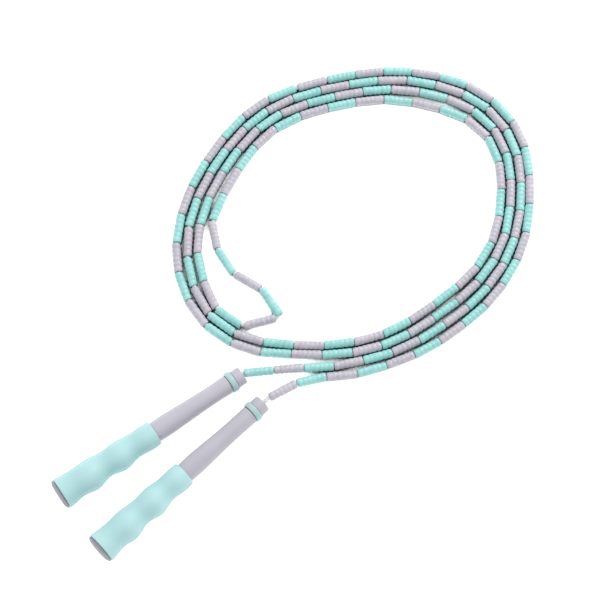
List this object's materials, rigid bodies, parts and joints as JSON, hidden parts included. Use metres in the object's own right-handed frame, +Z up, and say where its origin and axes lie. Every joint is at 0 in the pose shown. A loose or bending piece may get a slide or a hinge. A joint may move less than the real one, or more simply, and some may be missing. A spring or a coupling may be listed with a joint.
{
  "type": "jump rope",
  "caption": "Soft-beaded jump rope lying in a loose oval coil, with two tapered handles that have wavy soft grips, plug end caps and free-turning cord exits.",
  "frame": {"origin": "middle of the footprint on the floor, with the rope coiled and both handles lying beside the coil", "axes": "+Z up from the floor; +X to the right and +Y away, as seen by someone standing at the handle side"},
  "size_m": [0.3648, 0.3962, 0.0247],
  "materials": {
    "bead_teal": "satin",
    "bead_grey": "satin",
    "grip_teal": "matte",
    "handle_grey": "satin",
    "cord": "gloss",
    "washer": "brushed"
  },
  "bodies": {
    "coil": {"cord_coil_a": "cord", "cord_coil_b": "cord", "bead_run_a_1": "bead_teal", "bead_run_a_2": "bead_grey", "bead_run_a_3": "bead_teal", "bead_run_a_4": "bead_grey", "bead_run_a_5": "bead_teal", "bead_run_a_6": "bead_grey", "bead_run_a_7": "bead_teal", "bead_run_a_8": "bead_grey", "bead_run_b_1": "bead_teal", "bead_run_b_2": "bead_grey", "bead_run_b_3": "bead_teal", "bead_run_b_4": "bead_grey", "bead_run_b_5": "bead_teal", "bead_run_b_6": "bead_grey", "bead_run_b_7": "bead_teal", "bead_run_b_8": "bead_grey"},
    "tail_a_4": {"cord_a_link_4": "cord", "bead_a_5": "bead_teal", "bead_a_6": "bead_grey"},
    "tail_a_3": {"cord_a_link_3": "cord", "bead_a_3": "bead_teal", "bead_a_4": "bead_grey"},
    "tail_a_2": {"cord_a_link_2": "cord", "bead_a_2": "bead_grey"},
    "tail_a_1": {"cord_a_link_1": "cord", "bead_a_1": "bead_teal"},
    "cord_end_a": {"cord_end_a": "cord", "cord_stop_a": "handle_grey"},
    "handle_a": {"grip_a": "grip_teal", "handle_tube_a": "handle_grey", "accent_ring_a": "grip_teal", "nose_cap_a": "handle_grey", "washer_a": "washer"},
    "cap_a": {"end_cap_a": "handle_grey"},
    "tail_b_4": {"cord_b_link_4": "cord", "bead_b_5": "bead_grey", "bead_b_6": "bead_teal"},
    "tail_b_3": {"cord_b_link_3": "cord", "bead_b_3": "bead_grey", "bead_b_4": "bead_teal"},
    "tail_b_2": {"cord_b_link_2": "cord", "bead_b_2": "bead_teal"},
    "tail_b_1": {"cord_b_link_1": "cord", "bead_b_1": "bead_grey"},
    "cord_end_b": {"cord_end_b": "cord", "cord_stop_b": "handle_grey"},
    "washer_b": {"washer_b": "washer"},
    "handle_b": {"grip_b": "grip_teal", "handle_tube_b": "handle_grey", "accent_ring_b": "grip_teal", "nose_cap_b": "handle_grey"},
    "cap_b": {"end_cap_b": "handle_grey"},
    "loop": {"cord_loop": "cord", "bead_a_61": "bead_teal", "bead_a_62": "bead_grey", "bead_a_63": "bead_teal", "bead_b_66": "bead_teal", "bead_b_67": "bead_grey"}
  },
  "joints": [
    {"name": "tail_a_lift", "type": "hinge", "parent": "coil", "child": "tail_a_4", "pos_m": [0.08998, -0.02903, 0.00351], "axis": [-0.4882, 0.8727, 0], "range_deg": [0, 12]},
    {"name": "tail_a_bend_3", "type": "hinge", "parent": "tail_a_4", "child": "tail_a_3", "pos_m": [0.04762, -0.0451, 0.00351], "axis": [-0.2232, 0.9748, 0], "range_deg": [0, 12]},
    {"name": "tail_a_bend_2", "type": "hinge", "parent": "tail_a_3", "child": "tail_a_2", "pos_m": [0.00265, -0.05118, 0.00438], "axis": [-0.0953, 0.9955, 0], "range_deg": [0, 12]},
    {"name": "handle_a_swing", "type": "hinge", "parent": "tail_a_2", "child": "tail_a_1", "pos_m": [-0.01988, -0.05363, 0.00635], "axis": [0, 0, -1], "range_deg": [-3, 12]},
    {"name": "handle_a_raise", "type": "hinge", "parent": "tail_a_1", "child": "cord_end_a", "pos_m": [-0.04245, -0.05655, 0.00777], "axis": [-0.5721, 0.8202, 0], "range_deg": [0, 20]},
    {"name": "handle_a_spin", "type": "hinge", "parent": "cord_end_a", "child": "handle_a", "pos_m": [-0.04356, -0.05755, 0.00786], "axis": [0.8197, 0.5719, -0.0313], "continuous": true},
    {"name": "cap_a_pull", "type": "slide", "parent": "handle_a", "child": "cap_a", "axis": [-0.8197, -0.5719, 0.0313], "range_m": [0, 0.015]},
    {"name": "tail_b_lift", "type": "hinge", "parent": "coil", "child": "tail_b_4", "pos_m": [0.10546, -0.02952, 0.00351], "axis": [-0.5343, 0.8453, 0], "range_deg": [0, 12]},
    {"name": "tail_b_bend_3", "type": "hinge", "parent": "tail_b_4", "child": "tail_b_3", "pos_m": [0.0651, -0.04872, 0.00348], "axis": [-0.3341, 0.9425, 0], "range_deg": [0, 12]},
    {"name": "tail_b_bend_2", "type": "hinge", "parent": "tail_b_3", "child": "tail_b_2", "pos_m": [0.01978, -0.0581, 0.00418], "axis": [-0.1737, 0.9848, 0], "range_deg": [0, 12]},
    {"name": "handle_b_swing", "type": "hinge", "parent": "tail_b_2", "child": "tail_b_1", "pos_m": [-0.00278, -0.06346, 0.00551], "axis": [0, 0, 1], "range_deg": [-3, 12]},
    {"name": "handle_b_raise", "type": "hinge", "parent": "tail_b_1", "child": "cord_end_b", "pos_m": [-0.02426, -0.07564, 0.00756], "axis": [-0.6858, 0.7278, 0], "range_deg": [0, 30]},
    {"name": "handle_b_spin", "type": "hinge", "parent": "cord_end_b", "child": "washer_b", "pos_m": [-0.02806, -0.07925, 0.00786], "axis": [0.7274, 0.6855, -0.0313], "continuous": true},
    {"name": "handle_b_slide", "type": "slide", "parent": "washer_b", "child": "handle_b", "axis": [0.7274, 0.6855, -0.0313], "range_m": [0, 0.0035]},
    {"name": "cap_b_pull", "type": "slide", "parent": "handle_b", "child": "cap_b", "axis": [-0.7274, -0.6855, 0.0313], "range_m": [0, 0.015]},
    {"name": "loop_lift", "type": "hinge", "parent": "coil", "child": "loop", "pos_m": [-0.06319, 0.04364, 0.00351], "axis": [0.002, -1, 0], "range_deg": [0, 15]}
  ],
  "couplings": [
    {"joint": "tail_a_bend_3", "follows": "tail_a_lift", "ratio": 1},
    {"joint": "tail_a_bend_2", "follows": "tail_a_lift", "ratio": 1},
    {"joint": "tail_b_bend_3", "follows": "tail_b_lift", "ratio": 1},
    {"joint": "tail_b_bend_2", "follows": "tail_b_lift", "ratio": 1}
  ]
}
